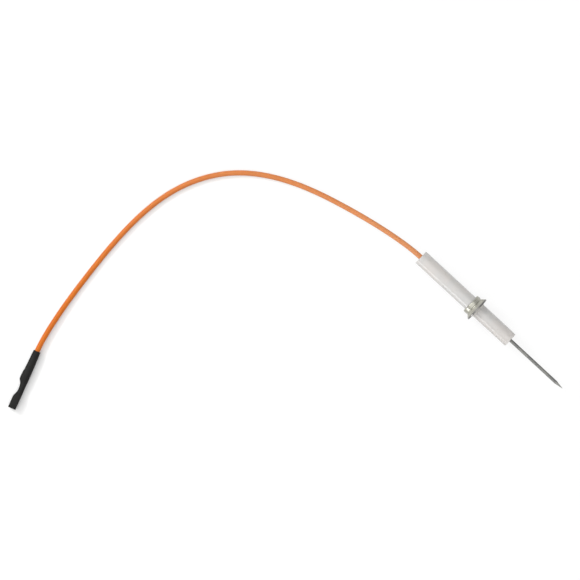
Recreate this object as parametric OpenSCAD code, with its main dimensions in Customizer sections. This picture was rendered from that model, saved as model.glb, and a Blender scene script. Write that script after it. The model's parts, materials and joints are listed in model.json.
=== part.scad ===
// Ignition electrode: a pointed rod in a ceramic tube with a rolled flange collar, and a silicone lead
// with a crimped, sleeved push-on terminal.
// Origin: centre of the flange's front seating face. +X: along the rod, towards its point. +Z: up.

/* [Ceramic] */
// Outside diameter of the ceramic tube
ceramic_d = 7.3; // [6.6:0.1:7.3]
// Length of ceramic behind the flange seat, on the lead side
ceramic_rear = 36.6; // [34:0.1:45]
// Length of the ceramic nose in front of the flange seat
ceramic_nose = 21; // [14:0.5:40]
// Diameter of the shoulder that the collar is rolled over
shoulder_d = 8.3; // [8.2:0.1:8.4]
// Diameter of the ceramic's root, where it leaves the flange
root_d = 7.7; // [7.65:0.05:7.8]
// How far the root reaches in front of the seat, with its taper
root_reach = 0.9; // [0.7:0.1:1.4]
// Diameter of the rear pocket that takes the lead and its splice
pocket_d = 3.8; // [3.4:0.1:4.4]
// Depth of the rear pocket
pocket_len = 24; // [22:0.5:26]
// Chamfer on both ends of the ceramic
end_chamfer = 0.25; // [0.1:0.05:0.5]

/* [Collar] */
// Diameter of the flange
flange_d = 12.5; // [11.5:0.1:16]
// Thickness of the flange at its rim
rim_t = 0.6; // [0.4:0.1:0.8]
// Outside diameter of the collar behind the flange
collar_d = 9.8; // [9.5:0.1:10.4]
// Length of the collar, from its rolled lip to the seat
collar_len = 4.6; // [4.4:0.1:6]
// Diameter of the waist between the collar and the flange's flank
waist_d = 9.2; // [9:0.1:9.4]
// Radius of the rolled lip
lip_r = 1; // [0.6:0.1:1.1]
// Diameter of the hole in the flange
flange_hole_d = 8; // [7.9:0.05:8.1]
// Thickness of the sealing washer in front of the shoulder
washer_t = 0.3; // [0.2:0.05:0.4]

/* [Rod] */
// Diameter of the electrode rod
rod_d = 1.6; // [1.2:0.1:1.8]
// Length of rod in front of the ceramic, with its point
rod_reach = 33.6; // [20:0.1:60]
// Length of the ground point
point_len = 4; // [2:0.5:8]
// Diameter left at the tip of the point
tip_d = 0.25; // [0.1:0.05:0.6]
// Diameter of the cement plug around the rod in the nose
plug_d = 3.2; // [2.6:0.1:3.6]
// Depth of the cement plug
plug_len = 3; // [1:0.5:6]

/* [Lead] */
// Outside diameter of the lead's insulation
lead_d = 2.5; // [2.3:0.1:2.8]
// Diameter of the stranded conductor
conductor_d = 1.1; // [0.9:0.1:1.2]
// Length of lead between the ceramic and the terminal sleeve
lead_len = 229.8; // [200:0.1:300]
// Number of hinges that stand in for the lead's bending
hinges = 8; // [6:1:10]
// Furthest turn of each hinge, either way, in degrees
hinge_turn = 35; // [20:5:45]
// Turn of the lead where it leaves the ceramic, in degrees
mouth_turn = 7.9; // [0:0.1:12]
// Turn shared evenly along the whole lead, in degrees
even_turn = 17.6; // [15:0.1:60]
// Turn in the lead's tightest stretch, in degrees
tight_turn = 74.8; // [20:0.1:80]
// Where the tightest stretch lies, as a share of the length
tight_at = 0.468; // [0.3:0.001:0.7]
// How far the tightest stretch spreads, as a share of the length
tight_spread = 0.165; // [0.1:0.001:0.3]
// Turn of the lead where it enters the terminal sleeve, in degrees
sleeve_turn = 8.5; // [0:0.1:12]

/* [Terminal] */
// Thickness of the terminal's metal
sheet_t = 0.3; // [0.2:0.05:0.35]
// Width of the push-on socket
socket_w = 3.4; // [3.3:0.1:3.8]
// Height of the push-on socket
socket_h = 2.8; // [2.6:0.1:3]
// Length of the push-on socket
socket_len = 5.9; // [5.5:0.1:7.5]
// Thickness of the tab that the socket takes
tab_t = 0.5; // [0.4:0.1:0.8]
// Length of the terminal sleeve
sleeve_len = 29.5; // [28:0.1:34]
// Wall of the shrunk sleeve
sleeve_wall = 0.45; // [0.2:0.05:0.5]

/* [Hidden] */
$fn = 64;
eps = 0.01;

// Ceramic and collar, as distances along X
shoulder_rear = -collar_len + lip_r;
flange_floor_t = rim_t + 0.1;
shoulder_front = -flange_floor_t - washer_t;
collar_clear = 0.05;
barrel_len = 1.9;
root_cyl_end = root_reach * 0.55;
bore_clear = 0.15;
pocket_end = -ceramic_rear + pocket_len;

// Rod, splice and potting, as distances along X
rod_tip = ceramic_nose + rod_reach;
rod_in_pocket = 6;
rod_rear = pocket_end - rod_in_pocket;
splice_gap = 1.4;
splice_len = 10;
splice_wall = 0.45;
splice_clear = 0.02;
splice_front = pocket_end - splice_gap;
splice_rear = splice_front - splice_len;
conductor_front = rod_rear - 0.5;
insulation_front = splice_rear - 1;
seal_len = 9;
seal_rear = -ceramic_rear + 0.2;
plug_setback = 0.1;

// Lead
lead_r = lead_d / 2;
conductor_r = conductor_d / 2;
piece_count = hinges + 1;
pitch = lead_len / hinges;
wire_gap = 0.05;
terminal_squeeze = 0.02;
seam_lap = 0.1;
floor_z = -flange_d / 2;
lead_rest_z = floor_z + lead_r;
sleeve_axis_z = floor_z + socket_w / 2 + sleeve_wall + 0.05;
fall = atan(-lead_rest_z / (1.75 * pitch));
rise = atan((sleeve_axis_z - lead_rest_z) / (0.75 * pitch));
v_clear = 0.5;

// Terminal, as distances along the lead from the sleeve's mouth
socket_setback = 0.3;
neck_len = 2.4;
wire_grip_len = 3.4;
grips_gap = 2.4;
lead_grip_len = 3.8;
socket_front = sleeve_len - socket_setback;
socket_rear = socket_front - socket_len;
neck_rear = socket_rear - neck_len;
wire_grip_rear = neck_rear - wire_grip_len;
lead_grip_front = wire_grip_rear - grips_gap;
lead_grip_rear = lead_grip_front - lead_grip_len;
stripped_at = lead_grip_front - 0.1;
conductor_end = neck_rear + 0.5;

// Terminal, as heights over the lead's centreline
base_low = -lead_r - sheet_t;
base_top = base_low + sheet_t;
socket_top = base_low + socket_h;
wire_z = base_top + conductor_r + eps;
grip_w = 1.8;
neck_top = 0.1;
lead_grip_r = lead_r + eps;
lap_angle = 90;

// Inside of the shrunk sleeve: [place along the lead, low y, high y, half height, corner radius]
sleeve_steps = 32;
snug = 0.03;
loose = 0.15;
on_lead_r = lead_r + snug;
on_grip_r = lead_grip_r + sheet_t + snug;
SLEEVE_STATIONS = [
    [0, -on_lead_r, on_lead_r, on_lead_r, on_lead_r],
    [lead_grip_rear * 0.3, -on_lead_r - loose, on_lead_r + loose, on_lead_r + loose, on_lead_r],
    [lead_grip_rear - 1.2, -on_lead_r - 2 * loose, on_grip_r, on_grip_r, on_lead_r],
    [lead_grip_rear - 0.1, -on_grip_r - sheet_t, on_grip_r, on_grip_r, 0.8],
    [lead_grip_front + 0.1, -on_grip_r - sheet_t, on_grip_r, on_grip_r, 0.8],
    [wire_grip_rear - 0.8, -0.75, on_grip_r, grip_w / 2 + loose, 0.15],
    [wire_grip_rear + 1, -0.4, on_grip_r, grip_w / 2 + loose, 0.15],
    [neck_rear, -0.3, on_grip_r, grip_w / 2 + loose, 0.15],
    [socket_rear - 0.6, -0.9, on_grip_r, socket_w / 2 - loose, 0.15],
    [socket_rear - 0.1, -socket_top - snug, on_grip_r, socket_w / 2 + snug, 0.1],
    [sleeve_len, -socket_top - snug, on_grip_r, socket_w / 2 + snug, 0.1]];

INSULATION = [for (i = [1 : piece_count]) str("lead_insulation_", i)];
CONDUCTOR = [for (i = [1 : piece_count]) str("lead_conductor_", i)];

// ---- Geometry of the lead's centreline ----

// A smooth step from 0 to 1 about v = 0
function soft_step(v) = 1 / (1 + exp(-2 * v));

// Heading of the lead, in degrees from +X seen from above, at a share u of its length
function free_heading(u) = 180 + mouth_turn + even_turn * u
    + tight_turn * (soft_step((u - tight_at) / tight_spread) - soft_step(-tight_at / tight_spread));

// Stations along the lead: 0 at the ceramic's mouth, 1 to hinges at the hinges, then the sleeve's mouth
last_station = hinges + 1;
function heading(k) = k == 0 ? 180
    : k == last_station ? free_heading(1) + sleeve_turn
    : free_heading((k - 0.5) / hinges);
function elevation(k) = k == 1 || k == 2 ? -fall
    : k == hinges ? rise
    : 0;
function direction(k) = [
    cos(heading(k)) * cos(elevation(k)),
    sin(heading(k)) * cos(elevation(k)),
    sin(elevation(k))];

// Each piece of lead is one arc between two stations
function piece_len(k) = k == 0 || k == hinges ? pitch / 2 : pitch;
function bend_angle(k) = acos(direction(k) * direction(k + 1));
function chord_len(k) = piece_len(k) * sin(bend_angle(k) / 2) / (bend_angle(k) / 2 * PI / 180);
function unit(v) = v / norm(v);
function station(k) = k == 0 ? [-ceramic_rear, 0, 0]
    : station(k - 1) + chord_len(k - 1) * unit(direction(k - 1) + direction(k));

// A frame with its Z along z, its X as near x as it can be, at a point
function frame_at(point, z, x) =
    let (side = unit(x - (x * z) * z), other = cross(z, side))
    [[side[0], other[0], z[0], point[0]],
     [side[1], other[1], z[1], point[1]],
     [side[2], other[2], z[2], point[2]],
     [0, 0, 0, 1]];

// Hinges with an odd number lift the lead, and hinges with an even number swing it sideways
function lifts(k) = k % 2 == 1;
function hinge_axis(k) = lifts(k) ? [sin(heading(k)), -cos(heading(k)), 0] : [0, 0, 1];
function hinge_along(k) = lifts(k) ? direction(k) : [cos(heading(k)), sin(heading(k)), 0];

// ---- Shared shapes ----

// Turns a profile drawn with x across and y along the electrode about the electrode's axis
module about_x() {
    rotate([0, 90, 0])
        rotate_extrude()
            children();
}

// A ring about the X axis, from x0 to x1
module ring(inner_r, outer_r, x0, x1) {
    about_x()
        translate([inner_r, x0])
            square([outer_r - inner_r, x1 - x0]);
}

// A straight round bar along X, from x0 to x1
module bar(r, x0, x1) {
    translate([x0, 0, 0])
        rotate([0, 90, 0])
            cylinder(r = r, h = x1 - x0);
}

// Places children at the sleeve's mouth, with X along the lead and Z up
module at_sleeve() {
    translate(station(last_station))
        rotate([0, 0, heading(last_station)])
            children();
}

// Places children in the terminal's frame: its base is on the inner side of the lead's bend
module at_terminal() {
    at_sleeve()
        rotate([90, 0, 0])
            children();
}

// Sweeps a profile along the arc of one piece of the lead
module lead_arc(k) {
    radius = piece_len(k) / (bend_angle(k) * PI / 180);
    multmatrix(frame_at(station(k), direction(k), direction(k + 1)))
        translate([radius, 0, 0])
            rotate([90, 0, 180])
                rotate_extrude(angle = bend_angle(k))
                    translate([radius, 0])
                        children();
}

// Everything beyond the two faces that leave room for a hinge to turn. side = 1 is towards the terminal
module beyond_hinge(k, side) {
    reach = 2 * lead_d;
    drop = reach * tan(hinge_turn / 2 + v_clear);
    along = hinge_along(k);
    axis = hinge_axis(k);
    multmatrix(frame_at(station(k), axis, cross(along, axis)))
        linear_extrude(height = 2 * lead_d, center = true)
            scale([1, side])
                polygon([[0, 0], [reach, -drop], [reach, reach], [-reach, reach], [-reach, -drop]]);
}

// One piece of the lead with the given profile, cut back at the hinges it meets
module lead_piece(k) {
    difference() {
        lead_arc(k)
            children();
        if (k > 0) beyond_hinge(k, -1);
        if (k < hinges) beyond_hinge(k + 1, 1);
    }
}

// ---- The electrode ----

module ceramic_insulator() {
    tube_r = ceramic_d / 2;
    color("whitesmoke")
        difference() {
            about_x()
                polygon([
                    [0, -ceramic_rear],
                    [tube_r - end_chamfer, -ceramic_rear],
                    [tube_r, -ceramic_rear + end_chamfer],
                    [tube_r, shoulder_rear],
                    [shoulder_d / 2, shoulder_rear],
                    [shoulder_d / 2, shoulder_front],
                    [root_d / 2, shoulder_front],
                    [root_d / 2, root_cyl_end],
                    [tube_r, root_reach],
                    [tube_r, ceramic_nose - end_chamfer],
                    [tube_r - end_chamfer, ceramic_nose],
                    [0, ceramic_nose]]);
            bar(rod_d / 2 + bore_clear, -ceramic_rear - 1, ceramic_nose + 1);
            bar(pocket_d / 2, -ceramic_rear - 1, pocket_end);
            bar(plug_d / 2, ceramic_nose - plug_len, ceramic_nose + 1);
        }
}

// The collar's section: a rolled lip behind, a barrel, a waist, and a flank out to the flange's rim
module collar_section() {
    barrel_r = collar_d / 2;
    waist_r = waist_d / 2;
    nose_r = barrel_r - waist_r;
    barrel_end = -collar_len + barrel_len;
    waist_end = barrel_end + nose_r;
    difference() {
        union() {
            intersection() {
                translate([barrel_r - lip_r, shoulder_rear])
                    circle(r = lip_r);
                translate([0, -collar_len])
                    square([barrel_r, lip_r]);
            }
            translate([root_d / 2, -collar_len])
                square([barrel_r - lip_r - root_d / 2, lip_r]);
            translate([root_d / 2, shoulder_rear])
                square([barrel_r - root_d / 2, barrel_end - shoulder_rear]);
            intersection() {
                translate([waist_r, barrel_end])
                    circle(r = nose_r);
                translate([waist_r, barrel_end])
                    square([nose_r, nose_r]);
            }
            polygon([
                [root_d / 2, barrel_end],
                [waist_r, barrel_end],
                [waist_r, waist_end],
                [flange_d / 2, -rim_t],
                [flange_d / 2, 0],
                [root_d / 2, 0]]);
        }
        translate([0, shoulder_rear])
            square([shoulder_d / 2 + collar_clear, -flange_floor_t - shoulder_rear]);
        translate([0, -collar_len])
            square([flange_hole_d / 2, collar_len + 1]);
    }
}

module flange_collar() {
    color("silver")
        about_x()
            collar_section();
}

module collar_washer() {
    color("peru")
        ring(root_d / 2 + collar_clear, shoulder_d / 2, shoulder_front, -flange_floor_t);
}

module collar_cement() {
    color("gainsboro")
        about_x()
            polygon([
                [root_d / 2, -flange_floor_t],
                [flange_hole_d / 2, -flange_floor_t],
                [flange_hole_d / 2, 0],
                [root_d / 2, root_cyl_end]]);
}

module electrode_rod() {
    color("dimgray") {
        union() {
            bar(rod_d / 2, rod_rear, rod_tip - point_len);
            translate([rod_tip - point_len, 0, 0])
                rotate([0, 90, 0])
                    cylinder(r1 = rod_d / 2, r2 = tip_d / 2, h = point_len);
        }
    }
}

module rod_cement() {
    color("lightgray")
        ring(rod_d / 2, plug_d / 2, ceramic_nose - plug_len, ceramic_nose - plug_setback);
}

module splice_tube() {
    tube_r = rod_d / 2 + splice_wall;
    color("goldenrod")
        difference() {
            bar(tube_r, splice_rear, splice_front);
            bar(rod_d / 2 + splice_clear, (rod_rear + conductor_front) / 2, splice_front + 1);
            bar(conductor_r + splice_clear, splice_rear - 1, rod_rear);
        }
}

module lead_seal() {
    color("mistyrose")
        ring(lead_r, pocket_d / 2, seal_rear, seal_rear + seal_len);
}

// ---- The lead ----

// The insulation's section, squeezed in a little where the terminal holds it
module insulation_section(squeeze = 0) {
    difference() {
        circle(r = lead_r - squeeze);
        circle(r = conductor_r + wire_gap - squeeze);
    }
}

module lead_insulation(i) {
    k = i - 1;
    color("darkorange")
        union() {
            lead_piece(k)
                insulation_section();
            if (k == 0)
                along_x(-ceramic_rear, insulation_front)
                    insulation_section();
            if (k == hinges)
                at_terminal()
                    along_x(-seam_lap, stripped_at)
                        insulation_section(terminal_squeeze);
        }
}

// The bare end of the conductor steps down to the floor of the wire grip, drawn in a little on the slope
module bare_end() {
    bare_r = conductor_r - terminal_squeeze;
    slope = atan(-wire_z / grips_gap);
    bar(bare_r, -seam_lap, lead_grip_front);
    translate([lead_grip_front, 0, 0])
        rotate([0, 90 + slope, 0])
            cylinder(r = 0.8 * bare_r, h = grips_gap / cos(slope));
    translate([0, 0, wire_z])
        bar(bare_r, wire_grip_rear, conductor_end);
}

module lead_conductor(i) {
    k = i - 1;
    color("tan")
        union() {
            lead_piece(k)
                circle(r = conductor_r);
            if (k == 0) bar(conductor_r, -ceramic_rear, conductor_front);
            if (k == hinges) at_terminal() bare_end();
        }
}

// ---- The terminal, with X along the lead, Z up from its base ----

// The push-on socket's section: a base and two walls curled over onto the tab
module socket_section() {
    half = socket_w / 2;
    leg = 0.06;
    curl_r = (half - leg) / 2;
    curl_z = base_low + socket_h - curl_r;
    translate([-half, base_low])
        square([socket_w, sheet_t]);
    for (side = [0, 1]) mirror([side, 0]) {
        translate([half - sheet_t, base_low])
            square([sheet_t, curl_z - base_low]);
        translate([leg, base_top + tab_t])
            square([sheet_t, curl_z - base_top - tab_t]);
        translate([leg + curl_r, curl_z])
            difference() {
                circle(r = curl_r);
                circle(r = curl_r - sheet_t);
                translate([-socket_w, -socket_w])
                    square([2 * socket_w, socket_w]);
            }
    }
}

// The wire grip's section: two wings curled down into the strands
module wire_grip_section() {
    wing_r = grip_w / 4;
    wing_z = wire_z + conductor_r - 0.2;
    difference() {
        union() {
            translate([-grip_w / 2, base_low])
                square([grip_w, wing_z - base_low]);
            for (side = [-1, 1])
                translate([side * wing_r, wing_z])
                    circle(r = wing_r);
        }
        translate([0, wire_z])
            circle(r = conductor_r + eps);
    }
}

// Stands a section drawn across the lead upright, and extrudes it from x0 to x1
module along_x(x0, x1) {
    translate([x0, 0, 0])
        rotate([90, 0, 90])
            linear_extrude(height = x1 - x0)
                children();
}

// The channel that widens from the wire grip to the socket
module neck() {
    narrow = grip_w / 2;
    wide = socket_w / 2;
    lap = 0.2;
    outline = [[neck_rear - lap, narrow], [neck_rear, narrow], [socket_rear, wide], [socket_rear + lap, wide]];
    far_side = [for (i = [len(outline) - 1 : -1 : 0]) [outline[i][0], -outline[i][1]]];
    inner = [for (p = outline) [p[0], p[1] - sheet_t]];
    inner_far = [for (i = [len(inner) - 1 : -1 : 0]) [inner[i][0], -inner[i][1]]];
    translate([0, 0, base_low])
        difference() {
            linear_extrude(height = neck_top - base_low)
                polygon(concat(outline, far_side));
            translate([0, 0, sheet_t])
                linear_extrude(height = neck_top - base_low)
                    polygon(concat(
                        [[neck_rear - 1, inner[0][1]]], inner, [[socket_rear + 1, inner[3][1]]],
                        [[socket_rear + 1, -inner[3][1]]], inner_far, [[neck_rear - 1, -inner[0][1]]]));
        }
}

// The insulation grip: a band round the lead, with one wing lapped over the other
module lead_grip() {
    sunk = 0.05;
    lap_r = lead_grip_r + sheet_t;
    ring(lead_grip_r, lap_r, lead_grip_rear, lead_grip_front);
    translate([lead_grip_rear, 0, 0])
        rotate([0, 90, 0])
            rotate_extrude(angle = lap_angle, start = 180 - lap_angle / 2)
                translate([lap_r - sunk, 0])
                    square([sheet_t + sunk, lead_grip_len]);
}

module terminal() {
    color("lightsteelblue")
        at_terminal()
            union() {
                lead_grip();
                difference() {
                    translate([lead_grip_front - 0.5, -grip_w / 2, base_low])
                        cube([socket_rear - lead_grip_front, grip_w, sheet_t]);
                    bar(lead_grip_r, 0, lead_grip_front);
                }
                along_x(wire_grip_rear, neck_rear)
                    wire_grip_section();
                neck();
                along_x(socket_rear, socket_front)
                    socket_section();
            }
}

// ---- The shrunk sleeve ----

// The point of the sleeve at station i and step j round it, grown by wall
function sleeve_point(i, j, wall) =
    let (at = SLEEVE_STATIONS[i],
         turn = (j + 0.5) * 360 / sleeve_steps,
         corner = at[4] + wall,
         spread_y = (at[2] - at[1]) / 2 + wall - corner,
         spread_z = at[3] + wall - corner)
    [at[0],
     (at[1] + at[2]) / 2 + sign(cos(turn)) * spread_y + corner * cos(turn),
     sign(sin(turn)) * spread_z + corner * sin(turn)];

// One closed skin: rings run out along the outside of the sleeve and back along its inside
module terminal_sleeve() {
    stations = len(SLEEVE_STATIONS);
    rings = 2 * stations;
    points = [for (m = [0 : rings - 1], j = [0 : sleeve_steps - 1])
        m < stations ? sleeve_point(m, j, sleeve_wall) : sleeve_point(rings - 1 - m, j, 0)];
    faces = [for (m = [0 : rings - 1], j = [0 : sleeve_steps - 1], half = [0, 1])
        let (here = m * sleeve_steps,
             there = (m + 1) % rings * sleeve_steps,
             next = (j + 1) % sleeve_steps)
        half == 0 ? [here + j, there + j, there + next] : [here + j, there + next, here + next]];
    color("#262524")
        at_sleeve()
            polyhedron(points = points, faces = faces);
}

// ---- What is drawn ----

ceramic_insulator();
flange_collar();
collar_washer();
collar_cement();
electrode_rod();
rod_cement();
splice_tube();
lead_seal();
for (i = [1 : piece_count]) {
    lead_insulation(i);
    lead_conductor(i);
}
terminal();
terminal_sleeve();
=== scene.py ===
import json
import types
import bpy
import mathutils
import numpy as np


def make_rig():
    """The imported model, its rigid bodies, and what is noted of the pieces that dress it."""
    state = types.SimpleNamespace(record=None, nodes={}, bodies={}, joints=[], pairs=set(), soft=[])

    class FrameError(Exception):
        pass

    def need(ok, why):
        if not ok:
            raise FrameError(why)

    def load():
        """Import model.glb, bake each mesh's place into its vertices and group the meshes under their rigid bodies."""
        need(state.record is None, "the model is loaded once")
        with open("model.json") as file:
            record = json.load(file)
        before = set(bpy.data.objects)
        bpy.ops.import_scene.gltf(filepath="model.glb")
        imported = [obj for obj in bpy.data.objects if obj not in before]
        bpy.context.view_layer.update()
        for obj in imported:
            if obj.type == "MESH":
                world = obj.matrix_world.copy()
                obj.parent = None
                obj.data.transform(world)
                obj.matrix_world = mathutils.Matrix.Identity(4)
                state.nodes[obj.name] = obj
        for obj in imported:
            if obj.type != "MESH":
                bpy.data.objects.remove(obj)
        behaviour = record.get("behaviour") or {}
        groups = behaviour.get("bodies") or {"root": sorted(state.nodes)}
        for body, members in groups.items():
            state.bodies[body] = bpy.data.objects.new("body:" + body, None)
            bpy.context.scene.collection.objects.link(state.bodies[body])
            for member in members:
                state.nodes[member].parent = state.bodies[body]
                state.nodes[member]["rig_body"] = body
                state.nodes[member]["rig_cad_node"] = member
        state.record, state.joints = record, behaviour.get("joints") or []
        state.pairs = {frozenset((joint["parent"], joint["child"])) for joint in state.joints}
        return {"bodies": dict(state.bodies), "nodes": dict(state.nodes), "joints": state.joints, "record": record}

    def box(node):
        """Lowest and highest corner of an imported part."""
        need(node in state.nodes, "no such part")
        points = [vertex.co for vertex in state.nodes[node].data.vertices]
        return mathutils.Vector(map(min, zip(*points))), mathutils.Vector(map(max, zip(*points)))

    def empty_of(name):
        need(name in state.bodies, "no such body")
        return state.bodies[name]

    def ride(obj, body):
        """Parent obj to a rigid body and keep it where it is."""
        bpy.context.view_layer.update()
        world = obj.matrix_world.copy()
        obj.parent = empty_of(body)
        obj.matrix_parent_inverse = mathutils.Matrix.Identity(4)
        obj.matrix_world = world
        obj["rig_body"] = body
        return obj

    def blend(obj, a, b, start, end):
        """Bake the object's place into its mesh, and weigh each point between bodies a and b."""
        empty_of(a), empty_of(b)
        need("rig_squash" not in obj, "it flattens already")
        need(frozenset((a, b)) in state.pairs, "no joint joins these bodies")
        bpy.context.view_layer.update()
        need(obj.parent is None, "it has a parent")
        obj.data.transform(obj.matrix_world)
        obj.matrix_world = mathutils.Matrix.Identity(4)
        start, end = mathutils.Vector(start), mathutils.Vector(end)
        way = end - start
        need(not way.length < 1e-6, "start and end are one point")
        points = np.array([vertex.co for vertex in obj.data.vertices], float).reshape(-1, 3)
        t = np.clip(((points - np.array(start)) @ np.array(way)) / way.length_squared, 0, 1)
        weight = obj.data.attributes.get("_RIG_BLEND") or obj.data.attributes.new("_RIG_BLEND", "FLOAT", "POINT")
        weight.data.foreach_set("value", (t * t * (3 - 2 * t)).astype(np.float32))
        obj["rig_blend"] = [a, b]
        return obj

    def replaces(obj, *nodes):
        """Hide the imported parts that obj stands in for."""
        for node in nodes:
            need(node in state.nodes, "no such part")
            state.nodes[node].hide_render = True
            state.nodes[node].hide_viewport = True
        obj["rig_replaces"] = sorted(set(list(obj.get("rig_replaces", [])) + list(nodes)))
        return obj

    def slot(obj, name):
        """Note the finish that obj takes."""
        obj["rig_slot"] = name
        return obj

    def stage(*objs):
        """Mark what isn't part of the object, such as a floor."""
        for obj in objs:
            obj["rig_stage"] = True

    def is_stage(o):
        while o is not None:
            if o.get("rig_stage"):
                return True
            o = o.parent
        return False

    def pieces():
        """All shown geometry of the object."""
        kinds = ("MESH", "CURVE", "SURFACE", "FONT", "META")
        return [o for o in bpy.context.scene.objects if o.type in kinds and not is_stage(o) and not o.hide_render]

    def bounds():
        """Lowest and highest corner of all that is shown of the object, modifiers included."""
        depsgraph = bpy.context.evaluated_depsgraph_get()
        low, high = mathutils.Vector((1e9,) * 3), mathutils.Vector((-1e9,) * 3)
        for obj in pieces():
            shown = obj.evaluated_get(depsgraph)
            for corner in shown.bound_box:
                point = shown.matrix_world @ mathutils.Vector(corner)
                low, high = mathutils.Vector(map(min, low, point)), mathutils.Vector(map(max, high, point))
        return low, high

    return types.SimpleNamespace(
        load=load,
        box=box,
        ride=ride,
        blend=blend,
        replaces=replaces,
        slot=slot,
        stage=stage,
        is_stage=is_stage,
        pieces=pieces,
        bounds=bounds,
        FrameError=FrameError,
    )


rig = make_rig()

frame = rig.load()

import json
import math

import bmesh
import bpy
import numpy as np
from mathutils import Vector, noise

CAD_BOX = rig.bounds()
MM = 0.001

# ---------------------------------------------------------------- dimensions

# Ceramic and rod
EDGE_ROUND = 0.22 * MM
BORE_R = 0.95 * MM
POCKET_R = 1.9 * MM
PLUG_R = 1.6 * MM
PLUG_DEPTH = 3 * MM
POCKET_DEPTH = 24 * MM
ROOT_R = 3.85 * MM
ROOT_REACH = 0.9 * MM
TIP_R = 0.1 * MM
POINT_LEN = 4 * MM

# Collar
RIM_T = 0.6 * MM
LIP_T = 1.0 * MM
SHOULDER_FRONT = -1.0 * MM
WAIST_R = 4.6 * MM
BARREL_LEN = 1.95 * MM
LIP_ROUND = 0.95 * MM
SHOULDER_R = 4.2 * MM
FLOOR_T = 0.7 * MM
FLANGE_HOLE_R = 4.0 * MM

# Lead
LEAD_R = 1.25 * MM
CORE_R = 0.6 * MM
STRAND_R = 0.18 * MM
STRAND_LAY = 9 * MM
TUBE_IN_CERAMIC = 11.6 * MM
WIRE_IN_CERAMIC = 17.4 * MM
TUBE_IN_SLEEVE = 15.0 * MM
WIRE_IN_SLEEVE = 21.2 * MM
WIRE_STEP = 0.69 * MM
WIRE_STEP_AT = 16.3 * MM
WIRE_STEP_OVER = 0.6 * MM
RING_STEP = 0.9 * MM
BEND_SHARE = 0.46
TUBE_SIDES = 32
STRAND_SIDES = 8
OUTER_STRANDS = 6
SKIN_SWELL = 0.012
SWELLS_PER_METRE = 60

# Sleeve: round over the wire, and squarer over the last stretch, where the socket is
SLEEVE_WALL = 0.45 * MM
SLEEVE_RINGS, SLEEVE_SIDES = 110, 72
DRAW_IN = 0.45 * MM
SQUARE_STRETCH = 6.8 * MM
SQUARE_OVER = 0.7 * MM
ROUND_POWER = 2.1
SQUARE_POWER_GAIN = 2.6
WRINKLE_DEPTH = 0.022 * MM
WRINKLE_PITCH = 0.9 * MM
WRINKLE_FADE = 1 * MM

# View and studio
ROLL = math.radians(42.8)
IMAGE_RIGHT = Vector((math.cos(ROLL), math.sin(ROLL), 0))
IMAGE_UP = Vector((-math.sin(ROLL), math.cos(ROLL), 0))
UP = Vector((0, 0, 1))
LENS, SENSOR = 300, 36
SPAN_SHARE = 0.9565
AIM_SHARE = 0.0086
FLOOR_HALF = 6.0
# Where the floor is painted with a white glow for the camera, hiding shadows: across the ceramic's side (WASH) and far
# off (FAR).
WASH_FROM, WASH_TO = -0.05, 0.03
WASH_SHARE = 0.85
FAR_FROM, FAR_TO = 0.3, 0.7
SKY_DIM, SKY_BRIGHT = 0.66, 0.80
LAMP_DISTANCE = 1.6
LAMPS = (
    # name, direction from the object, diameter, energy
    ("key", -IMAGE_RIGHT * 0.76 + IMAGE_UP * 0.65 + UP * 0.75, 0.6, 15),
    ("window", -IMAGE_RIGHT * 0.68 - IMAGE_UP * 0.73 + UP * 0.28, 0.7, 6.5),
    ("overhead", -IMAGE_RIGHT * 0.1 + UP, 2.2, 15),
)

# ---------------------------------------------------------------- the frame's places

ceramic_low, ceramic_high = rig.box("ceramic_insulator")
collar_low, collar_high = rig.box("flange_collar")
rod_low, rod_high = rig.box("electrode_rod")
CERAMIC_R = 3.65 * MM
FLANGE_R = collar_high.z
BARREL_R = 4.9 * MM
ROD_R = rod_high.z
JOINTS = list(frame["joints"])
SOCKET = next(m for m in frame["record"]["mounts"] if m["name"] == "tab_socket")
HEADING = Vector(SOCKET["axis"]).normalized()
ACROSS = UP.cross(HEADING)


def sleeve_points():
    """The CAD sleeve's vertices as (along, across, up) from the sleeve's mouth."""
    mesh = frame["nodes"]["terminal_sleeve"].data
    origin = Vector(SOCKET["pos_m"])
    local = [(v.co - origin) for v in mesh.vertices]
    points = np.array([(p.dot(HEADING), p.dot(ACROSS), p.dot(UP)) for p in local])
    mouth = points[:, 0].min()
    points[:, 0] -= mouth
    return points, origin + HEADING * mouth


SLEEVE_POINTS, SLEEVE_MOUTH = sleeve_points()
SLEEVE_LEN = SLEEVE_POINTS[:, 0].max()


# ---------------------------------------------------------------- mesh helpers

def make_piece(name, points, faces, body, material, sharp_angle=32):
    """A smooth-shaded mesh, riding on a CAD body if one is named; edges sharper than sharp_angle stay crisp."""
    mesh = bpy.data.meshes.new(name)
    mesh.from_pydata([tuple(p) for p in points], [], faces)
    mesh.validate()
    mesh.shade_smooth()
    mesh.set_sharp_from_angle(angle=math.radians(sharp_angle))
    mesh.materials.append(material)
    piece = bpy.data.objects.new(name, mesh)
    bpy.context.scene.collection.objects.link(piece)
    if body:
        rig.ride(piece, body)
    return piece


def rounded(corners, steps=5):
    """An outline through (x, y, rounding) corners, with each corner rounded off."""
    outline = []
    for i, (x, y, radius) in enumerate(corners):
        here = Vector((x, y))
        if radius <= 0:
            outline.append(here)
            continue
        before = Vector(corners[i - 1][:2]) - here
        after = Vector(corners[(i + 1) % len(corners)][:2]) - here
        cut = radius / math.tan(before.angle(after) / 2)
        cut = min(cut, 0.48 * before.length, 0.48 * after.length)
        start = here + before.normalized() * cut
        end = here + after.normalized() * cut
        for step in range(steps + 1):
            t = step / steps
            outline.append(start * (1 - t) ** 2 + here * (2 * t * (1 - t)) + end * t ** 2)
    return outline


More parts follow.
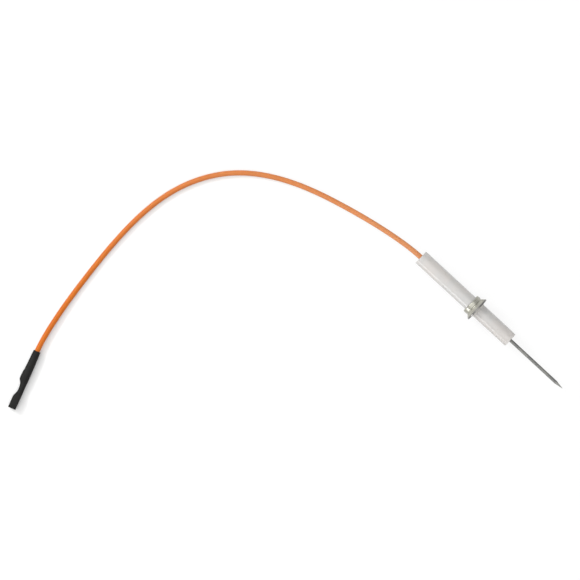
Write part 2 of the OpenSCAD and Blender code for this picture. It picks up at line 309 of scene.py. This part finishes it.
def lathe(name, outline, body, material, sides=160, closed=True):
    """Turns an (x, radius) outline about the X axis. A closed outline is a ring's section; an open one is a bar's."""
    count = len(outline)
    points, faces = [], []
    for x, radius in outline:
        for j in range(sides):
            turn = 2 * math.pi * j / sides
            points.append((x, radius * math.cos(turn), radius * math.sin(turn)))
    spans = count if closed else count - 1
    for i in range(spans):
        here, there = i * sides, (i + 1) % count * sides
        for j in range(sides):
            k = (j + 1) % sides
            faces.append((here + j, there + j, there + k, here + k))
    if not closed:
        faces.append(tuple(range(sides)))
        faces.append(tuple(range((count - 1) * sides, count * sides))[::-1])
    piece = make_piece(name, points, faces, body, material)
    fix_normals(piece)
    return piece


def fix_normals(piece):
    """Turns every face of a closed mesh outwards."""
    work = bmesh.new()
    work.from_mesh(piece.data)
    bmesh.ops.recalc_face_normals(work, faces=work.faces)
    work.to_mesh(piece.data)
    work.free()


# ---------------------------------------------------------------- materials

class Shader:
    """A material under construction: nodes are added by type, with sockets or values as inputs."""

    def __init__(self, name):
        self.material = bpy.data.materials.new(name)
        self.material.use_nodes = True
        self.tree = self.material.node_tree
        self.tree.nodes.clear()
        self.surface = self.add("BsdfPrincipled")
        self.output = self.add("OutputMaterial", {"Surface": self.surface.outputs[0]})
        coordinates = self.tree.nodes.new("ShaderNodeTexCoord")
        self.place = coordinates.outputs["Object"]

    def add(self, kind, inputs=None, **settings):
        node = self.tree.nodes.new("ShaderNode" + kind)
        for key, value in settings.items():
            setattr(node, key, value)
        for key, value in (inputs or {}).items():
            self.put(node.inputs[key], value)
        return node

    def put(self, socket, value):
        if isinstance(value, bpy.types.NodeSocket):
            self.tree.links.new(value, socket)
        else:
            socket.default_value = value

    def finish(self, **inputs):
        for key, value in inputs.items():
            self.put(self.surface.inputs[key.replace("_", " ")], value)
        return self.material

    def stretch(self, x, y, z):
        """The object's own coordinates, stretched so that a texture's grain follows an axis."""
        return self.add("Mapping", {"Vector": self.place, "Scale": (x, y, z)}).outputs[0]

    def noise(self, scale, detail=4.0, roughness=0.55, place=None, distortion=0.0):
        return self.add("TexNoise", {
            "Vector": place or self.place, "Scale": scale, "Detail": detail,
            "Roughness": roughness, "Distortion": distortion}).outputs["Fac"]

    def ramp(self, value, low, high, out_low=0.0, out_high=1.0):
        """Maps value from low..high to out_low..out_high, clamped."""
        return self.add("MapRange", {
            "Value": value, "From Min": low, "From Max": high,
            "To Min": out_low, "To Max": out_high}).outputs[0]

    def math(self, operation, a, b=0.0):
        return self.add("Math", {0: a, 1: b}, operation=operation).outputs[0]

    def blend(self, share, a, b):
        """Colour a at share 0 and colour b at share 1. 6, 7 and 2 are the Mix node's colour sockets."""
        return self.add("Mix", {"Factor": share, 6: a, 7: b}, data_type="RGBA").outputs[2]

    def bump(self, height, distance, strength=1.0, normal=None):
        node = self.add("Bump", {"Height": height, "Distance": distance, "Strength": strength})
        if normal is not None:
            self.put(node.inputs["Normal"], normal)
        return node.outputs[0]

    def facing(self, blend=0.5):
        """1 where the surface turns edge-on to the eye, 0 where it faces it."""
        return self.add("LayerWeight", {"Blend": blend}).outputs["Facing"]


def colour(red, green, blue):
    return (red, green, blue, 1.0)


def glazed_alumina():
    s = Shader("glazed_alumina")
    clouds = s.noise(90, detail=3)
    body = s.blend(s.ramp(clouds, 0.38, 0.62), colour(0.392, 0.387, 0.378), colour(0.425, 0.403, 0.384))
    grains = s.noise(2600, detail=2)
    body = s.blend(s.ramp(grains, 0.60, 0.75, 0, 0.25), body, colour(0.45, 0.44, 0.43))
    specks = s.noise(900, detail=1, roughness=0.4)
    body = s.blend(s.ramp(specks, 0.70, 0.76, 0, 0.35), body, colour(0.30, 0.26, 0.22))
    # Painted shade: the glaze is darkened where the surface turns edge-on to the eye, colour standing in for the
    # tube's sides catching less light.
    painted_edge_shade = s.ramp(s.facing(0.35), 0.30, 0.90, 0, 0.7)
    body = s.blend(painted_edge_shade, body, colour(0.27, 0.265, 0.26))
    pits = s.bump(s.noise(1500, detail=5), 0.00003, 0.35)
    return s.finish(
        Base_Color=body, Roughness=s.ramp(clouds, 0.3, 0.7, 0.32, 0.46), Normal=pits,
        Coat_Weight=0.6, Coat_Roughness=0.10, Subsurface_Weight=0.08,
        Subsurface_Radius=(0.002, 0.0018, 0.0016), Subsurface_Scale=0.5)


def turned_steel(name, base, shade, roughness, groove_scale):
    """Plated steel with turning marks round the X axis, smudges and brighter worn edges."""
    s = Shader(name)
    lines = s.noise(1.0, detail=6, roughness=0.7, place=s.stretch(groove_scale, 60, 60))
    smudge = s.noise(240, detail=4)
    body = s.blend(s.ramp(smudge, 0.35, 0.65), base, shade)
    pointed = s.add("NewGeometry").outputs["Pointiness"]
    body = s.blend(s.ramp(pointed, 0.52, 0.60, 0, 0.4), body, colour(0.62, 0.61, 0.58))
    radius = s.add("VectorMath", {0: s.stretch(0, 1, 1)}, operation="LENGTH").outputs["Value"]
    # Darker on the flange's outer rim.
    dark_rim = s.ramp(radius, FLANGE_R - 0.35 * MM, FLANGE_R - 0.1 * MM)
    body = s.blend(dark_rim, body, colour(0.20, 0.195, 0.19))
    normal = s.bump(lines, 0.00002, 0.5)
    normal = s.bump(smudge, 0.00004, 0.25, normal)
    rough = s.ramp(s.math("ADD", lines, smudge), 0.7, 1.3, roughness - 0.08, roughness + 0.10)
    return s.finish(Base_Color=body, Metallic=1.0, Roughness=rough, Normal=normal)


def oxidised_rod():
    s = Shader("heat_resisting_alloy")
    drawn = s.noise(1.0, detail=5, roughness=0.65, place=s.stretch(120, 5200, 5200))
    blotch = s.noise(420, detail=4)
    body = s.blend(s.ramp(blotch, 0.35, 0.68), colour(0.137, 0.137, 0.136), colour(0.215, 0.215, 0.20))
    along = s.add("SeparateXYZ", {"Vector": s.place}).outputs["X"]
    ground = s.ramp(along, rod_high.x - POINT_LEN * 1.15, rod_high.x - POINT_LEN * 0.9)
    body = s.blend(ground, body, colour(0.29, 0.29, 0.275))
    turned = s.noise(1.0, detail=4, place=s.stretch(9000, 400, 400))
    normal = s.bump(drawn, 0.00002, 0.5)
    normal = s.bump(s.math("MULTIPLY", turned, ground), 0.00002, 0.7, normal)
    rough = s.ramp(blotch, 0.3, 0.7, 0.36, 0.55)
    return s.finish(Base_Color=body, Metallic=0.85, Roughness=rough, Normal=normal)


def orange_silicone():
    s = Shader("orange_silicone")
    along = s.add("Attribute", attribute_name="along").outputs["Fac"]
    # Painted light: the lead is paler towards the ceramic and a deeper orange towards the sleeve, colour standing in
    # for light washing out the ceramic's end.
    painted_light_wash = s.ramp(along, 0.0, 0.85)
    body = s.blend(painted_light_wash, colour(0.48, 0.192, 0.075), colour(0.455, 0.106, 0.004))
    paler = s.blend(painted_light_wash, colour(0.54, 0.23, 0.10), colour(0.52, 0.138, 0.012))
    mottle = s.noise(160, detail=4)
    body = s.blend(s.ramp(mottle, 0.40, 0.70, 0, 0.45), body, paler)
    dust = s.noise(3200, detail=2)
    body = s.blend(s.ramp(dust, 0.64, 0.76, 0, 0.08), body, colour(0.70, 0.48, 0.34))
    skin = s.bump(s.noise(1900, detail=5), 0.00003, 0.30)
    skin = s.bump(s.noise(260, detail=2), 0.00008, 0.25, skin)
    return s.finish(
        Base_Color=body, Roughness=s.ramp(mottle, 0.3, 0.7, 0.44, 0.58), Normal=skin,
        Subsurface_Weight=0.12, Subsurface_Radius=(0.0012, 0.0005, 0.0002), Subsurface_Scale=0.6,
        Specular_IOR_Level=0.2)


def black_sleeve():
    s = Shader("black_sleeve")
    grain = s.noise(2400, detail=5)
    folds = s.noise(300, detail=3)
    body = s.blend(s.ramp(folds, 0.35, 0.70), colour(0.006, 0.006, 0.006), colour(0.011, 0.0105, 0.010))
    body = s.blend(s.ramp(grain, 0.62, 0.78, 0, 0.35), body, colour(0.04, 0.037, 0.034))
    normal = s.bump(grain, 0.00004, 0.5)
    normal = s.bump(folds, 0.00012, 0.4, normal)
    return s.finish(
        Base_Color=body, Roughness=s.ramp(grain, 0.3, 0.7, 0.55, 0.72), Normal=normal,
        Specular_IOR_Level=0.16)


def powdery(name, base, shade, scale, roughness=0.9):
    """Cement and potting: matt, mottled and slightly rough."""
    s = Shader(name)
    lumps = s.noise(scale, detail=6)
    body = s.blend(s.ramp(lumps, 0.35, 0.65), base, shade)
    return s.finish(Base_Color=body, Roughness=roughness, Normal=s.bump(lumps, 0.0001, 0.7))


def pressed_metal(name, base, shade, roughness):
    """Strip or tube metal with fine rolling marks and light tarnish."""
    s = Shader(name)
    marks = s.noise(1.0, detail=5, place=s.stretch(500, 500, 4200))
    tarnish = s.noise(500, detail=4)
    body = s.blend(s.ramp(tarnish, 0.40, 0.70), base, shade)
    return s.finish(
        Base_Color=body, Metallic=1.0, Roughness=s.ramp(tarnish, 0.3, 0.7, roughness, roughness + 0.15),
        Normal=s.bump(marks, 0.00002, 0.4))


MATERIALS = {
    "glazed_alumina": glazed_alumina(),
    "plated_steel": turned_steel(
        "plated_steel", colour(0.42, 0.415, 0.365), colour(0.33, 0.325, 0.28), 0.32, 5200),
    "copper_washer": pressed_metal(
        "copper_washer", colour(0.72, 0.40, 0.26), colour(0.50, 0.25, 0.15), 0.30),
    "white_cement": powdery("white_cement", colour(0.60, 0.58, 0.54), colour(0.50, 0.48, 0.44), 1400),
    "heat_resisting_alloy": oxidised_rod(),
    "brass_splice": pressed_metal("brass_splice", colour(0.78, 0.58, 0.28), colour(0.60, 0.42, 0.18), 0.30),
    "silicone_potting": powdery(
        "silicone_potting", colour(0.74, 0.62, 0.54), colour(0.68, 0.54, 0.46), 700, 0.55),
    "orange_silicone": orange_silicone(),
    "tinned_copper": pressed_metal("tinned_copper", colour(0.74, 0.70, 0.64), colour(0.62, 0.50, 0.40), 0.28),
    "tinned_brass": pressed_metal("tinned_brass", colour(0.74, 0.73, 0.69), colour(0.60, 0.57, 0.50), 0.26),
    "black_sleeve": black_sleeve(),
}


def finish_piece(piece, slot, *nodes):
    """Names the record's slot that a piece takes its finish from, and the CAD nodes it stands for."""
    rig.slot(piece, slot)
    if nodes:
        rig.replaces(piece, *nodes)


# ---------------------------------------------------------------- ceramic, collar and rod

def build_ceramic():
    rear, front = ceramic_low.x, ceramic_high.x
    shoulder_rear = collar_low.x + LIP_T
    pocket_end = rear + POCKET_DEPTH
    plug_start = front - PLUG_DEPTH
    outline = rounded([
        (rear, POCKET_R, EDGE_ROUND / 2),
        (rear, CERAMIC_R, EDGE_ROUND),
        (shoulder_rear, CERAMIC_R, EDGE_ROUND),
        (shoulder_rear, ceramic_high.z, EDGE_ROUND),
        (SHOULDER_FRONT, ceramic_high.z, EDGE_ROUND),
        (SHOULDER_FRONT, ROOT_R, EDGE_ROUND / 2),
        (ROOT_REACH * 0.55, ROOT_R, EDGE_ROUND),
        (ROOT_REACH, CERAMIC_R, EDGE_ROUND),
        (front, CERAMIC_R, EDGE_ROUND),
        (front, PLUG_R, EDGE_ROUND / 2),
        (plug_start, PLUG_R, 0),
        (plug_start, BORE_R, 0),
        (pocket_end, BORE_R, 0),
        (pocket_end, POCKET_R, 0)])
    piece = lathe("ceramic_tube", outline, "electrode", MATERIALS["glazed_alumina"])
    finish_piece(piece, "glazed_alumina", "ceramic_insulator")


def build_collar():
    rear = collar_low.x
    barrel_end = rear + BARREL_LEN
    waist_end = barrel_end + BARREL_R - WAIST_R
    outline = rounded([
        (rear, FLANGE_HOLE_R, 0.2 * MM),
        (rear, BARREL_R, LIP_ROUND),
        (barrel_end, BARREL_R, 0.3 * MM),
        (waist_end, WAIST_R, 0.35 * MM),
        (-RIM_T, FLANGE_R, 0.12 * MM),
        (0, FLANGE_R, 0.15 * MM),
        (0, FLANGE_HOLE_R, 0.08 * MM),
        (-FLOOR_T, FLANGE_HOLE_R, 0.05 * MM),
        (-FLOOR_T, SHOULDER_R, 0.05 * MM),
        (rear + LIP_T, SHOULDER_R, 0.05 * MM),
        (rear + LIP_T, FLANGE_HOLE_R, 0.1 * MM)], steps=8)
    piece = lathe("rolled_collar", outline, "electrode", MATERIALS["plated_steel"], sides=192)
    finish_piece(piece, "plated_steel", "flange_collar")


def build_rod():
    """The rod, with its ground point slightly hollow, as a wheel leaves it."""
    shank_end = rod_high.x - POINT_LEN
    outline = [Vector((rod_low.x, ROD_R * 0.8)), Vector((rod_low.x + 0.2 * ROD_R, ROD_R))]
    outline += [Vector((shank_end - 0.3 * MM, ROD_R)), Vector((shank_end, ROD_R * 0.985))]
    steps = 14
    for step in range(1, steps + 1):
        t = step / steps
        radius = ROD_R + (TIP_R - ROD_R) * t ** 0.92
        outline.append(Vector((shank_end + t * (POINT_LEN - TIP_R), radius)))
    for step in range(1, 4):
        turn = math.radians(28 * step)
        outline.append(Vector((rod_high.x - TIP_R * (1 - math.sin(turn)), TIP_R * math.cos(turn))))
    piece = lathe("pointed_rod", outline, "electrode", MATERIALS["heat_resisting_alloy"], sides=64, closed=False)
    finish_piece(piece, "heat_resisting_alloy", "electrode_rod")


# ---------------------------------------------------------------- lead

def smooth_path(knots, first, last):
    """Cubic spans through knots with matching curvature, and the given directions at both ends."""
    knots = np.array(knots, float)
    gap = np.linalg.norm(np.diff(knots, axis=0), axis=1)
    count = len(knots)
    matrix, right = np.zeros((count, count)), np.zeros((count, 3))
    matrix[0, 0] = matrix[-1, -1] = 1
    right[0], right[-1] = first, last
    for i in range(1, count - 1):
        a, b = gap[i - 1], gap[i]
        matrix[i, i - 1:i + 2] = b, 2 * (a + b), a
        right[i] = 3 * (b * (knots[i] - knots[i - 1]) / a + a * (knots[i + 1] - knots[i]) / b)
    slope = np.linalg.solve(matrix, right)
    points = []
    for i in range(count - 1):
        for t in np.linspace(0, 1, 200, endpoint=i == count - 2):
            points.append(
                (2 * t ** 3 - 3 * t ** 2 + 1) * knots[i] + (t ** 3 - 2 * t ** 2 + t) * gap[i] * slope[i]
                + (3 * t ** 2 - 2 * t ** 3) * knots[i + 1] + (t ** 3 - t ** 2) * gap[i] * slope[i + 1])
    return np.array(points)


def lead_path():
    """Points along the lead's centreline, from inside the ceramic to inside the sleeve, with their distances."""
    mouth = Vector((ceramic_low.x, 0, 0))
    knots = [mouth] + [Vector(j["pos_m"]) for j in JOINTS] + [SLEEVE_MOUTH]
    free = smooth_path(knots, (-1, 0, 0), HEADING)
    inner = [mouth + Vector((WIRE_IN_CERAMIC * t, 0, 0)) for t in np.linspace(1, 0, 40, endpoint=False)]
    outer = [SLEEVE_MOUTH + HEADING * WIRE_IN_SLEEVE * t for t in np.linspace(0, 1, 41)[1:]]
    points = np.array([tuple(p) for p in inner] + list(free) + [tuple(p) for p in outer])
    distance = np.concatenate([[0], np.cumsum(np.linalg.norm(np.diff(points, axis=0), axis=1))])
    return points, distance - WIRE_IN_CERAMIC


PATH, DISTANCE = lead_path()
FREE_LEN = DISTANCE[-1] - WIRE_IN_SLEEVE
PITCH = FREE_LEN / len(JOINTS)


def lead_at(s):
    """The centreline's point at a distance s from the ceramic's mouth."""
    return Vector([float(np.interp(s, DISTANCE, PATH[:, k])) for k in range(3)])


def lead_frame(s):
    """A point of the lead, and two directions across it there."""
    point = lead_at(s)
    along = (lead_at(s + 0.4 * MM) - lead_at(s - 0.4 * MM)).normalized()
    side = UP.cross(along).normalized()
    return point, side, along.cross(side)


def lead_section_sweep(start, end, radius_at, sides, centre_at=None):
    """Points of the rings from start to end along the lead, and how many rings there are."""
    rings = max(2, round((end - start) / RING_STEP) + 1)
    points, places = [], []
    for s in np.linspace(start, end, rings):
        point, side, up = lead_frame(s)
        if centre_at:
            shift_side, shift_up = centre_at(s)
            point = point + side * shift_side + up * shift_up
        for j in range(sides):
            turn = 2 * math.pi * j / sides
            points.append(point + (side * math.cos(turn) + up * math.sin(turn)) * radius_at(s))
            places.append(s)
    return points, places, rings


def tube_faces(rings, sides, offset=0, inward=False):
    faces = []
    for i in range(rings - 1):
        here, there = offset + i * sides, offset + (i + 1) * sides
        for j in range(sides):
            k = (j + 1) % sides
            face = (here + j, here + k, there + k, there + j)
            faces.append(face[::-1] if inward else face)
    return faces


def skin_radius(s):
    """The extruded skin swells and narrows a little along its length."""
    return LEAD_R * (1 + SKIN_SWELL * noise.noise(Vector((s * SWELLS_PER_METRE, 0.3, 0.7))))


def build_insulation(i, start, end):
    """One stretch of the insulation: a tube with an outer skin, an inner skin and two flat ends."""
    sides = TUBE_SIDES
    outer, places, rings = lead_section_sweep(start, end, skin_radius, sides)
    inner, _, _ = lead_section_sweep(start, end, lambda s: CORE_R, sides)
    offset = len(outer)
    faces = tube_faces(rings, sides) + tube_faces(rings, sides, offset, inward=True)
    last = (rings - 1) * sides
    for j in range(sides):
        k = (j + 1) % sides
        faces.append((j, offset + j, offset + k, k))
        faces.append((last + j, last + k, offset + last + k, offset + last + j))
    piece = make_piece(f"lead_tube_{i}", outer + inner, faces, None, MATERIALS["orange_silicone"])
    fix_normals(piece)
    along = piece.data.attributes.new("along", "FLOAT", "POINT")
    share = np.array(places * 2) / FREE_LEN
    along.data.foreach_set("value", share.astype(np.float32))
    return piece


def build_strands(i, start, end):
    """One stretch of the conductor: a middle strand with six more laid round it."""
    sides = STRAND_SIDES
    points, faces = [], []
    for strand in range(OUTER_STRANDS + 1):
        def centre(s, strand=strand):
            # beyond the insulation, the wire steps aside to the wall of the wire grip
            step = WIRE_STEP / 2 * (1 + math.tanh((s - FREE_LEN - WIRE_STEP_AT) / WIRE_STEP_OVER))
            if strand == OUTER_STRANDS:
                return step, 0.0
            turn = 2 * math.pi * (strand / OUTER_STRANDS + s / STRAND_LAY)
            return step + 2 * STRAND_R * math.cos(turn), 2 * STRAND_R * math.sin(turn)
        rings_points, _, rings = lead_section_sweep(start, end, lambda s: STRAND_R * 0.99, sides, centre)
        offset = len(points)
        points += rings_points
        faces += tube_faces(rings, sides, offset)
        faces.append(tuple(offset + j for j in range(sides))[::-1])
        faces.append(tuple(offset + (rings - 1) * sides + j for j in range(sides)))
    piece = make_piece(f"lead_strands_{i}", points, faces, None, MATERIALS["tinned_copper"])
    fix_normals(piece)
    return piece


def build_lead():
    count = len(JOINTS)
    for i, joint in enumerate(JOINTS, start=1):
        start, end = (i - 1) * PITCH, i * PITCH
        in_ceramic = (TUBE_IN_CERAMIC, WIRE_IN_CERAMIC) if i == 1 else (0, 0)
        in_sleeve = (TUBE_IN_SLEEVE, WIRE_IN_SLEEVE) if i == count else (0, 0)
        middle = (i - 0.5) * PITCH
        bend_start = lead_at(middle - BEND_SHARE * PITCH)
        bend_end = lead_at(middle + BEND_SHARE * PITCH)
        tube = build_insulation(i, start - in_ceramic[0], end + in_sleeve[0])
        strands = build_strands(i, start - in_ceramic[1], end + in_sleeve[1])
        for piece in (tube, strands):
            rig.blend(piece, joint["parent"], joint["child"], start=bend_start, end=bend_end)
        nodes = [i] if i < count else [i, i + 1]
        finish_piece(tube, "orange_silicone", *[f"lead_insulation_{n}" for n in nodes])
        finish_piece(strands, "tinned_copper", *[f"lead_conductor_{n}" for n in nodes])


# ---------------------------------------------------------------- terminal sleeve

def sleeve_extents():
    """Where the CAD sleeve has a ring, and its outside there: low, high and half width."""
    places = np.unique(np.round(SLEEVE_POINTS[:, 0], 6))
    rows = []
    for place in places:
        ring = SLEEVE_POINTS[np.abs(SLEEVE_POINTS[:, 0] - place) < 2e-6]
        rows.append((place, ring[:, 1].min(), ring[:, 1].max(), ring[:, 2].max()))
    return np.array(rows)


def build_sleeve():
    """The shrunk sleeve: it follows the terminal's form in smooth drawn-in curves, and is open at its end."""
    extents = sleeve_extents()
    rings, sides = SLEEVE_RINGS, SLEEVE_SIDES
    places = np.linspace(0, SLEEVE_LEN, rings)
    dense = np.linspace(0, SLEEVE_LEN, 600)
    smooth = []
    for column in (1, 2, 3):
        raw = np.interp(dense, extents[:, 0], extents[:, column])
        weights = np.exp(-0.5 * ((places[:, None] - dense[None]) / DRAW_IN) ** 2)
        smooth.append((weights * raw).sum(1) / weights.sum(1))
    low, high, half = smooth
    socket_from = SLEEVE_LEN - SQUARE_STRETCH
    outer, inner = [], []
    for i, place in enumerate(places):
        squareness = ROUND_POWER + SQUARE_POWER_GAIN / (1 + math.exp(-(place - socket_from) / SQUARE_OVER))
        middle = (low[i] + high[i]) / 2
        for points, wall in ((outer, 0.0), (inner, SLEEVE_WALL)):
            half_y = (high[i] - low[i]) / 2 - wall
            half_z = half[i] - wall
            for j in range(sides):
                turn = 2 * math.pi * j / sides
                c, s = math.cos(turn), math.sin(turn)
                y = middle + half_y * math.copysign(abs(c) ** (2 / squareness), c)
                z = half_z * math.copysign(abs(s) ** (2 / squareness), s)
                wrinkle = 0.0
                if wall == 0.0:
                    at = Vector((place / WRINKLE_PITCH, 1.3 * c, 1.3 * s))
                    wrinkle = WRINKLE_DEPTH * noise.noise(at) * min(1, place / WRINKLE_FADE)
                points.append((place, y + wrinkle * c, z + wrinkle * s))
    loop = outer + inner
    world = [SLEEVE_MOUTH + HEADING * x + ACROSS * y + UP * z for x, y, z in loop]
    offset = len(outer)
    faces = tube_faces(rings, sides) + tube_faces(rings, sides, offset, inward=True)
    last = (rings - 1) * sides
    for j in range(sides):
        k = (j + 1) % sides
        faces.append((j, offset + j, offset + k, k))
        faces.append((last + j, last + k, offset + last + k, offset + last + j))
    piece = make_piece("shrunk_sleeve", world, faces, "terminal_end", MATERIALS["black_sleeve"], 50)
    fix_normals(piece)
    finish_piece(piece, "black_sleeve", "terminal_sleeve")


# ---------------------------------------------------------------- build

build_ceramic()
build_collar()
build_rod()
build_lead()
build_sleeve()

SLOTS = {s["node"]: s["material_slot"] for s in frame["record"]["subparts"]}
for node, cad in frame["nodes"].items():
    if not cad.hide_render:
        cad.data.materials.clear()
        cad.data.materials.append(MATERIALS[SLOTS[node]])

# ---------------------------------------------------------------- floor, light and camera

object_low, object_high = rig.bounds()
CENTRE = (object_low + object_high) / 2


def build_floor():
    """A plain pale ground. For the camera it glows plain white far off and on the ceramic's side, painted light that
    hides most of the shadows there.
    """
    mesh = bpy.data.meshes.new("floor")
    corners = [(x * FLOOR_HALF, y * FLOOR_HALF, 0) for x, y in ((-1, -1), (1, -1), (1, 1), (-1, 1))]
    mesh.from_pydata(corners, [], [(0, 1, 2, 3)])
    floor = bpy.data.objects.new("floor", mesh)
    bpy.context.scene.collection.objects.link(floor)
    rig.stage(floor)
    s = Shader("pale_floor")
    tone = s.ramp(s.noise(6, detail=2), 0.3, 0.7)
    s.finish(
        Base_Color=s.blend(tone, colour(0.75, 0.75, 0.745), colour(0.765, 0.765, 0.765)),
        Roughness=0.8, Specular_IOR_Level=0.2)
    # Painted light: camera rays see the floor glow white on the ceramic's side, hiding most of the ceramic's cast
    # shadow, and far off.
    rightwards = s.add("VectorMath", {0: s.place, 1: IMAGE_RIGHT}, operation="DOT_PRODUCT").outputs["Value"]
    middle = CENTRE.dot(IMAGE_RIGHT)
    painted_white_glow = s.ramp(rightwards, middle + WASH_FROM, middle + WASH_TO, 0, WASH_SHARE)
    away = s.add("VectorMath", {0: s.place, 1: (CENTRE.x, CENTRE.y, 0)}, operation="DISTANCE").outputs["Value"]
    painted_white_glow = s.math("MAXIMUM", painted_white_glow, s.ramp(away, FAR_FROM, FAR_TO))
    seen = s.add("LightPath").outputs["Is Camera Ray"]
    share = s.math("MULTIPLY", painted_white_glow, seen)
    white = s.add("Emission", {"Color": colour(1, 1, 1), "Strength": 1.0})
    mixed = s.add("MixShader", {0: share, 1: s.surface.outputs[0], 2: white.outputs[0]})
    s.put(s.output.inputs["Surface"], mixed.outputs[0])
    mesh.materials.append(s.material)
    floor.location.z = object_low.z
    return floor


def add_area_light(name, direction, size, energy):
    light = bpy.data.lights.new(name, "AREA")
    light.shape = "DISK"
    light.size = size
    light.energy = energy
    lamp = bpy.data.objects.new(name, light)
    bpy.context.scene.collection.objects.link(lamp)
    direction = direction.normalized()
    lamp.location = CENTRE + direction * LAMP_DISTANCE
    lamp.rotation_mode = "QUATERNION"
    lamp.rotation_quaternion = (-direction).to_track_quat("-Z", "Y")


def build_world():
    """White where the camera looks past the floor; for the object, brighter from the image's left."""
    world = bpy.data.worlds.new("studio")
    bpy.context.scene.world = world
    world.use_nodes = True
    tree = world.node_tree
    tree.nodes.clear()

    def add(kind):
        return tree.nodes.new("ShaderNode" + kind)

    place = add("TexCoord")
    toward = add("VectorMath")
    toward.operation = "DOT_PRODUCT"
    tree.links.new(place.outputs["Generated"], toward.inputs[0])
    toward.inputs[1].default_value = -(IMAGE_RIGHT * 0.8 + IMAGE_UP * 0.6)
    level = add("MapRange")
    tree.links.new(toward.outputs["Value"], level.inputs["Value"])
    for key, value in {"From Min": -1, "From Max": 1, "To Min": SKY_DIM, "To Max": SKY_BRIGHT}.items():
        level.inputs[key].default_value = value
    soft = add("Background")
    tree.links.new(level.outputs[0], soft.inputs["Strength"])
    plain = add("Background")
    plain.inputs["Strength"].default_value = 1.0
    plain.inputs["Color"].default_value = (1, 1, 1, 1)
    soft.inputs["Color"].default_value = (1, 1, 1, 1)
    ray = add("LightPath")
    choose = add("MixShader")
    tree.links.new(ray.outputs["Is Camera Ray"], choose.inputs[0])
    tree.links.new(soft.outputs[0], choose.inputs[1])
    tree.links.new(plain.outputs[0], choose.inputs[2])
    output = add("OutputWorld")
    tree.links.new(choose.outputs[0], output.inputs["Surface"])


def build_camera():
    """Straight down, with a long lens, turned as the view is."""
    camera = bpy.data.cameras.new("camera")
    camera.lens, camera.sensor_width = LENS, SENSOR
    eye = bpy.data.objects.new("camera", camera)
    bpy.context.scene.collection.objects.link(eye)
    seen = []
    depsgraph = bpy.context.evaluated_depsgraph_get()
    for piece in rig.pieces():
        for corner in piece.evaluated_get(depsgraph).data.vertices:
            seen.append((corner.co.dot(IMAGE_RIGHT), corner.co.dot(IMAGE_UP)))
    low, high = np.min(seen, axis=0), np.max(seen, axis=0)
    middle = (low + high) / 2
    width = (high - low)[0] / SPAN_SHARE
    distance = width * LENS / SENSOR
    target = IMAGE_RIGHT * (middle[0] + AIM_SHARE * width) + IMAGE_UP * middle[1]
    eye.location = target + UP * (distance + CENTRE.z)
    eye.rotation_euler = (0, 0, ROLL)
    camera.clip_start, camera.clip_end = 0.01, 50
    bpy.context.scene.camera = eye


floor = build_floor()
build_world()
for lamp_name, lamp_direction, lamp_size, lamp_energy in LAMPS:
    add_area_light(lamp_name, lamp_direction, lamp_size, lamp_energy)
build_camera()


def settle_floor(*_, floor=floor, bounds=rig.bounds):
    """Keeps the floor under the object's lowest point, whatever the pose."""
    floor.location.z = bounds()[0].z


bpy.app.handlers.render_pre.append(settle_floor)
bpy.context.scene.view_settings.view_transform = "Standard"

visual_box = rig.bounds()
with open("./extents.json", "w") as out:
    json.dump({"cad": [list(c) for c in CAD_BOX], "visual": [list(c) for c in visual_box]}, out)
